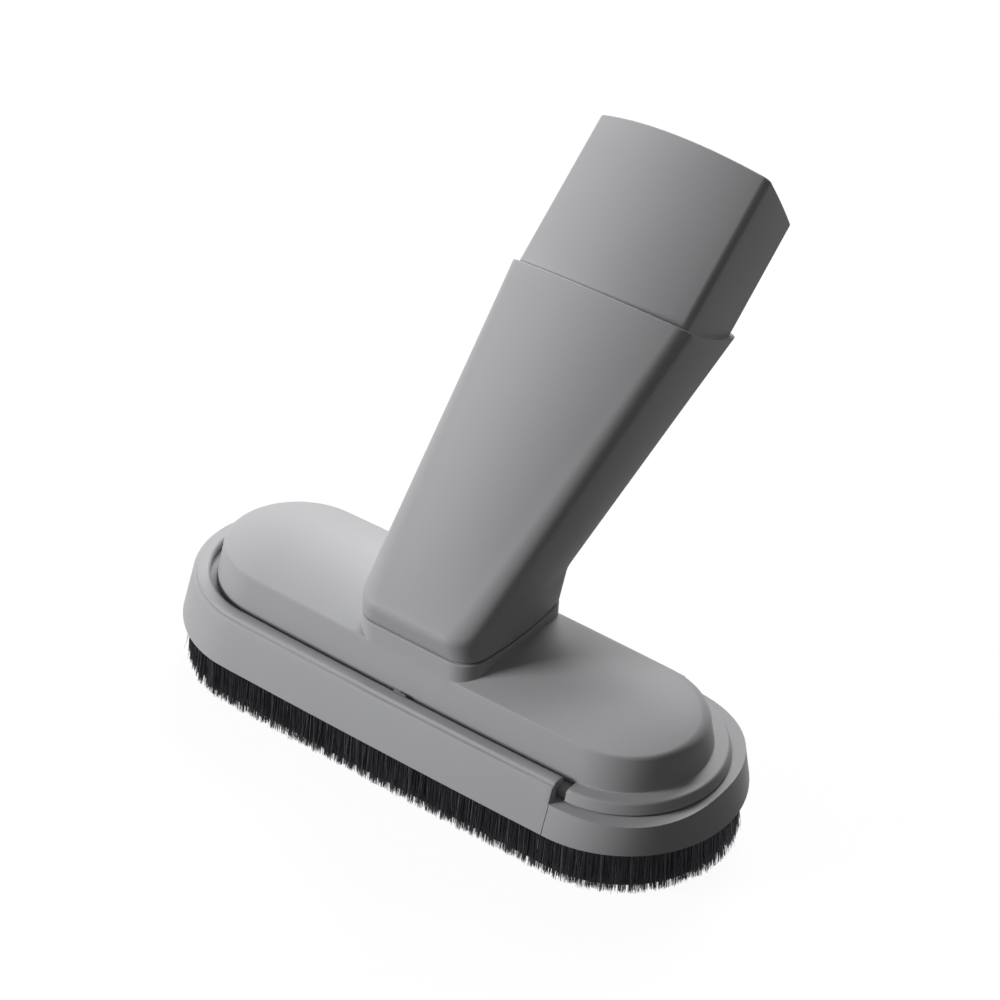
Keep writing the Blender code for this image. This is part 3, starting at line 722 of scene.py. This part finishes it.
def make_neck(material):
    """Hollow neck: plug, upright collar, leaning sleeve, shoulder and spigot."""
    axis = Vector((0.0, math.sin(NECK_LEAN), math.cos(NECK_LEAN)))
    across = Vector((1.0, 0.0, 0.0))
    backwards = Vector((0.0, math.cos(NECK_LEAN), -math.sin(NECK_LEAN)))
    chin = Vector((CENTRE_X, CENTRE_Y + BOSS_FRONT - CHIN_OVERHANG, SEAM + CHIN_HEIGHT))
    nape = Vector((CENTRE_X, CENTRE_Y + BOSS_BACK + NAPE_OVERHANG, SEAM + NAPE_HEIGHT))
    shoulder_front = chin + Vector((0.0, SLEEVE_RUN, SLEEVE_RISE))

    def shoulder(v):
        """How far along the axis the shoulder lies: it rises and then curls up towards the back."""
        return SHOULDER_SLOPE * v + SHOULDER_CURVE * max(v, 0.0) ** 2

    def rim(_):
        return SPIGOT_LENGTH

    def leaning(inset, along):
        """A section of sleeve or spigot, as far along the axis as the given function says."""
        outline = section(SLEEVE_HALF_FRONT, SLEEVE_HALF_BACK, SLEEVE_DEPTH, (SLEEVE_RADIUS, SLEEVE_RADIUS),
                          SLEEVE_CROWNS, inset)
        return np.array([shoulder_front + across * u + backwards * v + axis * along(v) for u, v in outline])

    def crease(inset):
        """The sloping section between chin and nape, where the collar ends and the sleeve begins."""
        slope = (nape - chin).normalized()
        outline = section(CREASE_HALF_FRONT, CREASE_HALF_BACK, (nape - chin).length,
                          (CREASE_FRONT_RADIUS, CREASE_RADIUS), CREASE_CROWNS, inset)
        return np.array([chin + across * u + slope * v for u, v in outline])

    foot = SEAM + NECK_SEAM
    plug_end = neck_low.z
    spigot_wall = SHOULDER_STEP + NECK_WALL
    collar, sleeve, step = crease(0.0), leaning(0.0, shoulder), leaning(SHOULDER_STEP, shoulder)
    spigot = leaning(SHOULDER_STEP, rim)
    rings = [(plug_ring(plug_end, PLUG_OUTER), PLUG_EDGE),
             (plug_ring(foot, PLUG_OUTER), 0.0),
             (boss_ring(foot), COLLAR_EDGE),
             (collar, CREASE_EDGE)]
    rings += plain(between(collar, sleeve, SLEEVE_RINGS))
    rings += [(sleeve, SHOULDER_EDGE), (step, SHOULDER_FOOT_EDGE)]
    rings += plain(between(step, spigot, SPIGOT_RINGS))
    rings += [(spigot, SPIGOT_EDGE),
              (leaning(spigot_wall, rim), SPIGOT_INNER_EDGE),
              (leaning(spigot_wall, shoulder), 0.0),
              (crease(NECK_WALL), 0.0),
              (plug_ring(foot, PLUG_INNER), 0.0),
              (plug_ring(plug_end, PLUG_INNER), PLUG_EDGE)]
    neck = new_object("neck_shell", skin(round_rings(rings), closed=True))
    return dress(neck, material, "head", "grey_plastic", "neck")


# Bristles

def bristle_nodes():
    """Node tree that sows hairs on a flat bed: length, splay, tufting and strays are its inputs."""
    tree = bpy.data.node_groups.new("bristle_rows", 'GeometryNodeTree')
    tree.is_modifier = True
    tree.interface.new_socket("Geometry", in_out='INPUT', socket_type='NodeSocketGeometry')
    sizes = (("Density", 2.0e6), ("Length", 10 * MM), ("Length Spread", 0.6 * MM), ("Ragged", 0.5 * MM),
             ("Hair Radius", 0.07 * MM), ("Splay", 0.8 * MM), ("Tuft Size", 1.8 * MM), ("Tuft Pull", 0.3),
             ("Wander", 0.3 * MM), ("Spine", 38 * MM), ("Middle", 0.0))
    for name, value in sizes:
        tree.interface.new_socket(name, in_out='INPUT', socket_type='NodeSocketFloat').default_value = value
    tree.interface.new_socket("Seed", in_out='INPUT', socket_type='NodeSocketInt').default_value = 1
    tree.interface.new_socket("Material", in_out='INPUT', socket_type='NodeSocketMaterial')
    tree.interface.new_socket("Geometry", in_out='OUTPUT', socket_type='NodeSocketGeometry')
    start = tree.nodes.new('NodeGroupInput')
    end = tree.nodes.new('NodeGroupOutput')

    def node(kind, **settings):
        """New node with its settings."""
        made = tree.nodes.new(kind)
        for name, value in settings.items():
            setattr(made, name, value)
        return made

    def join(source, target, socket):
        """Link an output (a node's first, or a given socket) into a node's input."""
        output = source if isinstance(source, bpy.types.NodeSocket) else source.outputs[0]
        tree.links.new(output, target.inputs[socket])

    def maths(operation, *values, kind='ShaderNodeMath'):
        """Output of a sum; each value is a constant, or what is linked in."""
        made = node(kind, operation=operation)
        for i, value in enumerate(values):
            if isinstance(value, (int, float, tuple)):
                made.inputs[i].default_value = value
            else:
                join(value, made, i)
        return made.outputs[0]

    def vectors(operation, *values):
        return maths(operation, *values, kind='ShaderNodeVectorMath')

    def scaled(vector, factor):
        made = node('ShaderNodeVectorMath', operation='SCALE')
        join(vector, made, 0)
        join(factor, made, "Scale")
        return made.outputs[0]

    def random_vector(seed_offset):
        """Random vector per hair, from the seed and an offset to it."""
        made = node('FunctionNodeRandomValue', data_type='FLOAT_VECTOR')
        made.inputs[0].default_value = (-1.0, -1.0, -1.0)
        made.inputs[1].default_value = (1.0, 1.0, 1.0)
        join(maths('ADD', start.outputs["Seed"], seed_offset), made, "Seed")
        return made.outputs[0]

    def keep(geometry, name, value):
        """Geometry on which a vector is stored under a name."""
        made = node('GeometryNodeStoreNamedAttribute', data_type='FLOAT_VECTOR', domain='POINT')
        made.inputs["Name"].default_value = name
        join(geometry, made, "Geometry")
        join(value, made, "Value")
        return made.outputs["Geometry"]

    def kept(name):
        """The vector that was stored under a name."""
        made = node('GeometryNodeInputNamedAttribute', data_type='FLOAT_VECTOR')
        made.inputs["Name"].default_value = name
        return made.outputs["Attribute"]

    sown = node('GeometryNodeDistributePointsOnFaces', distribute_method='RANDOM')
    join(start.outputs["Geometry"], sown, "Mesh")
    join(start.outputs["Density"], sown, "Density")
    join(start.outputs["Seed"], sown, "Seed")
    points = keep(sown.outputs["Points"], "root", node('GeometryNodeInputPosition'))
    points = keep(points, "luck", random_vector(seed_offset=11.0))

    patches = node('ShaderNodeTexNoise', noise_dimensions='3D')
    patches.inputs["Scale"].default_value = 420.0
    patches.inputs["Detail"].default_value = 2.0
    root, luck = kept("root"), kept("luck")
    join(root, patches, "Vector")
    chance = node('ShaderNodeSeparateXYZ')
    join(luck, chance, 0)
    uneven = maths('MULTIPLY', maths('SUBTRACT', patches.outputs[0], 0.5), start.outputs["Ragged"])
    shorter = maths('MULTIPLY', maths('ABSOLUTE', chance.outputs["Z"]), start.outputs["Length Spread"])
    length = maths('SUBTRACT', maths('ADD', start.outputs["Length"], uneven), shorter)

    strand = node('GeometryNodeCurvePrimitiveLine')
    strand.inputs["Start"].default_value = (0.0, 0.0, 0.0)
    strand.inputs["End"].default_value = (0.0, 0.0, -1.0)
    bendable = node('GeometryNodeResampleCurve')
    bendable.inputs["Count"].default_value = 4
    join(strand, bendable, "Curve")
    stretch = node('ShaderNodeCombineXYZ')
    stretch.inputs["X"].default_value = 1.0
    stretch.inputs["Y"].default_value = 1.0
    join(length, stretch, "Z")
    stand = node('GeometryNodeInstanceOnPoints')
    join(points, stand, "Points")
    join(bendable, stand, "Instance")
    join(stretch, stand, "Scale")
    real = node('GeometryNodeRealizeInstances')
    join(stand, real, 0)

    place = node('ShaderNodeSeparateXYZ')
    join(root, place, 0)
    along = node('GeometryNodeSplineParameter').outputs["Factor"]
    curl = 1.7
    bend = maths('POWER', along, curl)
    spine_left = maths('MULTIPLY', start.outputs["Spine"], -1.0)
    spine_x = maths('MINIMUM', maths('MAXIMUM', place.outputs["X"], spine_left), start.outputs["Spine"])
    spine = node('ShaderNodeCombineXYZ')
    join(spine_x, spine, "X")
    join(start.outputs["Middle"], spine, "Y")
    join(place.outputs["Z"], spine, "Z")
    outwards = vectors('NORMALIZE', vectors('SUBTRACT', root, spine))
    splay = scaled(outwards, start.outputs["Splay"])

    tufts = node('ShaderNodeTexVoronoi', feature='F1', voronoi_dimensions='2D')
    join(root, tufts, "Vector")
    join(maths('DIVIDE', 1.0, start.outputs["Tuft Size"]), tufts, "Scale")
    pull = vectors('MULTIPLY', vectors('SUBTRACT', tufts.outputs["Position"], root), (1.0, 1.0, 0.0))
    pull = scaled(pull, start.outputs["Tuft Pull"])
    wander = scaled(vectors('MULTIPLY', luck, (1.0, 1.0, 0.0)), start.outputs["Wander"])
    move = scaled(vectors('ADD', vectors('ADD', splay, pull), wander), bend)

    shift = node('GeometryNodeSetPosition')
    join(real, shift, "Geometry")
    join(move, shift, "Offset")
    taper = node('GeometryNodeSetCurveRadius')
    join(shift, taper, "Curve")
    tip_loss, taper_power = 0.55, 3.0
    lost = maths('MULTIPLY', maths('POWER', along, taper_power), tip_loss)
    join(maths('MULTIPLY', maths('SUBTRACT', 1.0, lost), start.outputs["Hair Radius"]), taper, "Radius")
    profile = node('GeometryNodeCurvePrimitiveCircle')
    profile.inputs["Resolution"].default_value = 3
    profile.inputs["Radius"].default_value = 1.0
    tube = node('GeometryNodeCurveToMesh')
    join(taper, tube, "Curve")
    join(profile, tube, "Profile Curve")
    tube.inputs["Fill Caps"].default_value = True
    join(node('GeometryNodeInputRadius'), tube, "Scale")
    whole = node('GeometryNodeRealizeInstances')
    join(tube, whole, 0)
    finish = node('GeometryNodeSetMaterial')
    join(whole, finish, "Geometry")
    join(start.outputs["Material"], finish, "Material")
    join(finish, end, "Geometry")
    return tree


def bed(outer, inner, z):
    """Flat ring between an outer and an inner outline, for the hairs to stand on."""
    bm = bmesh.new()
    outside, inside = [[bm.verts.new((x, y, z)) for x, y, _ in ring] for ring in (outer, inner)]
    for i in range(len(outside)):
        j = (i + 1) % len(outside)
        bm.faces.new((outside[i], outside[j], inside[j], inside[i]))
    return bm


def sow(name, tree, ground, material, **sizes):
    """Hairs on a bed, as a plain mesh that rides on the brush."""
    obj = new_object(name, ground)
    modifier = obj.modifiers.new("bristles", 'NODES')
    modifier.node_group = tree
    sockets = {item.name: item.identifier for item in tree.interface.items_tree if item.in_out == 'INPUT'}
    modifier[sockets["Material"]] = material
    modifier[sockets["Spine"]] = FRAME_STRAIGHT
    modifier[sockets["Middle"]] = CENTRE_Y
    for size, value in sizes.items():
        modifier[sockets[size.replace("_", " ")]] = value
    hairs = settle(obj, name)
    for attribute in [a for a in hairs.data.attributes if a.name in ("root", "luck")]:
        hairs.data.attributes.remove(attribute)
    return dress(hairs, material, "brush", "bristle", "bristle_ring", sharp=180)


def make_bristles(hair, painted_glint_hair):
    """Rows of hairs in the frame's groove, round a dense dark core, with stray hairs whose pale tone is a
    painted glint.
    """
    def below(inset, z):
        """The frame's lower outline, set inwards from the bed's outer edge and moved to a height."""
        ring = frame_ring(FRAME_FOOT, BED_OUTER + inset)
        ring[:, 2] = z
        return ring

    core = [below(inset, z) for inset, z in CORE_INSETS]
    core += [head_ring(CORE_INSIDE, CORE_FOOT), head_ring(CORE_INSIDE, CORE_TOP)]
    dense = new_object("bristle_core", skin(core, closed=True))
    dress(dense, hair, "brush", "bristle", "bristle_ring")

    tree = bristle_nodes()
    edge = below(0.0, BED)
    inner_row = head_ring(MIDDLE_ROW_END, BED)
    rows = (("bristles_outer", edge, below(OUTER_ROW_END, BED), 25.0e6, 0.8 * MM, 3),
            ("bristles_middle", below(MIDDLE_ROW_START, BED), inner_row, 15.0e6, 0.3 * MM, 4),
            ("bristles_inner", inner_row, head_ring(BED_INNER, BED), 18.0e6, 0.0, 5))
    for name, outside, inside, density, splay, seed in rows:
        sow(name, tree, bed(outside, inside, BED), hair, Density=density, Length=BED - HAIRS_END,
            Splay=splay, Length_Spread=0.4 * MM, Ragged=1.6 * MM, Hair_Radius=0.075 * MM,
            Tuft_Size=TUFT_SIZE, Tuft_Pull=0.2, Wander=0.3 * MM, Seed=seed)
    # Stray hairs: real loose strands, coloured pale as a painted glint, the highlight a lone hair catches
    ground = bed(edge, below(STRAY_ROW_END, BED), BED)
    sow("bristles_stray", tree, ground, painted_glint_hair, Density=4.0e6, Length=BED - STRAYS_END,
        Splay=0.75 * MM, Length_Spread=1.4 * MM, Ragged=0.4 * MM, Hair_Radius=0.045 * MM,
        Tuft_Size=TUFT_SIZE, Tuft_Pull=0.1, Wander=0.9 * MM, Seed=9)


# Stage, light and camera

def show_white(tree, strength):
    """Node that gives the strength to what camera, reflections and clear things see, and else nothing."""
    path = tree.nodes.new('ShaderNodeLightPath')
    direct = tree.nodes.new('ShaderNodeMath')
    direct.operation = 'MAXIMUM'
    link_in(tree, path, "Is Camera Ray", direct, 0)
    link_in(tree, path, "Is Glossy Ray", direct, 1)
    seen = tree.nodes.new('ShaderNodeMath')
    seen.operation = 'MAXIMUM'
    link_in(tree, direct, 0, seen, 0)
    link_in(tree, path, "Is Transmission Ray", seen, 1)
    level = tree.nodes.new('ShaderNodeMath')
    level.operation = 'MULTIPLY'
    level.inputs[1].default_value = strength
    link_in(tree, seen, 0, level, 0)
    return level


def make_floor():
    """Plain floor that looks white and keeps the object's shadow, but throws little light back."""
    bm = bmesh.new()
    bmesh.ops.create_grid(bm, x_segments=1, y_segments=1, size=3.0)
    floor = new_object("floor", bm)
    material = bpy.data.materials.new("pale_floor")
    material.use_nodes = True
    tree = material.node_tree
    shader = tree.nodes["Principled BSDF"]
    shader.inputs["Base Color"].default_value = (0.05, 0.05, 0.05, 1.0)
    shader.inputs["Roughness"].default_value = 0.95
    shader.inputs["Specular IOR Level"].default_value = 0.0
    shader.inputs["Emission Color"].default_value = (1.0, 1.0, 1.0, 1.0)
    level = show_white(tree, FLOOR_WHITE)
    link_in(tree, level, 0, shader, "Emission Strength")
    floor.data.materials.append(material)


def make_world():
    """White to the camera and in reflections, a dim even light to everything else."""
    world = bpy.data.worlds.new("studio")
    world.use_nodes = True
    tree = world.node_tree
    background = tree.nodes["Background"]
    background.inputs["Color"].default_value = (1.0, 1.0, 1.0, 1.0)
    level = show_white(tree, 1.0 - AMBIENT)
    total = tree.nodes.new('ShaderNodeMath')
    total.operation = 'ADD'
    total.inputs[1].default_value = AMBIENT
    link_in(tree, level, 0, total, 0)
    link_in(tree, total, 0, background, "Strength")
    bpy.context.scene.world = world


def softbox(name, place, aim, size, power):
    """Square area lamp at a place, turned to the point it lights."""
    lamp = bpy.data.lights.new(name, 'AREA')
    lamp.shape = 'SQUARE'
    lamp.size = size
    lamp.energy = power
    obj = bpy.data.objects.new(name, lamp)
    obj.location = place
    obj.rotation_euler = (aim - place).to_track_quat('-Z', 'Y').to_euler()
    bpy.context.scene.collection.objects.link(obj)


def make_camera():
    """The photograph's viewpoint."""
    forwards = math.cos(CAMERA_ELEVATION)
    back = Vector((math.sin(CAMERA_AZIMUTH) * forwards, -math.cos(CAMERA_AZIMUTH) * forwards,
                   math.sin(CAMERA_ELEVATION)))
    level = Vector((math.cos(CAMERA_AZIMUTH), math.sin(CAMERA_AZIMUTH), 0.0))
    upright = back.cross(level)
    right = math.cos(CAMERA_ROLL) * level + math.sin(CAMERA_ROLL) * upright
    up = math.cos(CAMERA_ROLL) * upright - math.sin(CAMERA_ROLL) * level
    data = bpy.data.cameras.new("camera")
    data.sensor_width = SENSOR_WIDTH
    data.lens = CAMERA_LENS
    data.clip_start = 10 * MM
    camera = bpy.data.objects.new("camera", data)
    turn = camera.matrix_world.to_3x3()
    for i, direction in enumerate((right, up, back)):
        turn.col[i] = direction
    camera.matrix_world = turn.to_4x4()
    camera.location = CAMERA_ORIGIN + back * CAMERA_DISTANCE + right * CAMERA_ASIDE + up * CAMERA_ABOVE
    bpy.context.scene.collection.objects.link(camera)
    bpy.context.scene.camera = camera


# The scene

grain = moulded_grain()
grey = plastic("grey_shell", grain, colour=(0.325, 0.326, 0.335), roughness=0.42,
               grain_size=0.22 * MM, mottle=0.05, bump=0.3)
hair = bristle_material("black_bristle", dark=(0.009, 0.009, 0.015),
                        light=(0.034, 0.031, 0.046), roughness=0.5)
# The strays' pale colour is a painted glint on the hairs, not their own tone
painted_glint_hair = bristle_material("bristle_painted_glint", dark=(0.09, 0.09, 0.10),
                              light=(0.22, 0.22, 0.24), roughness=0.4)

make_cover(grey)
make_sole(grey)
make_frame(grey)
make_neck(grey)
make_bristles(hair, painted_glint_hair)

make_floor()
make_world()
for name, offset, size, power in LAMPS:
    softbox(name, LIT_POINT + Vector(offset), LIT_POINT, size, power)
make_camera()
bpy.context.scene.view_settings.view_transform = 'Standard'
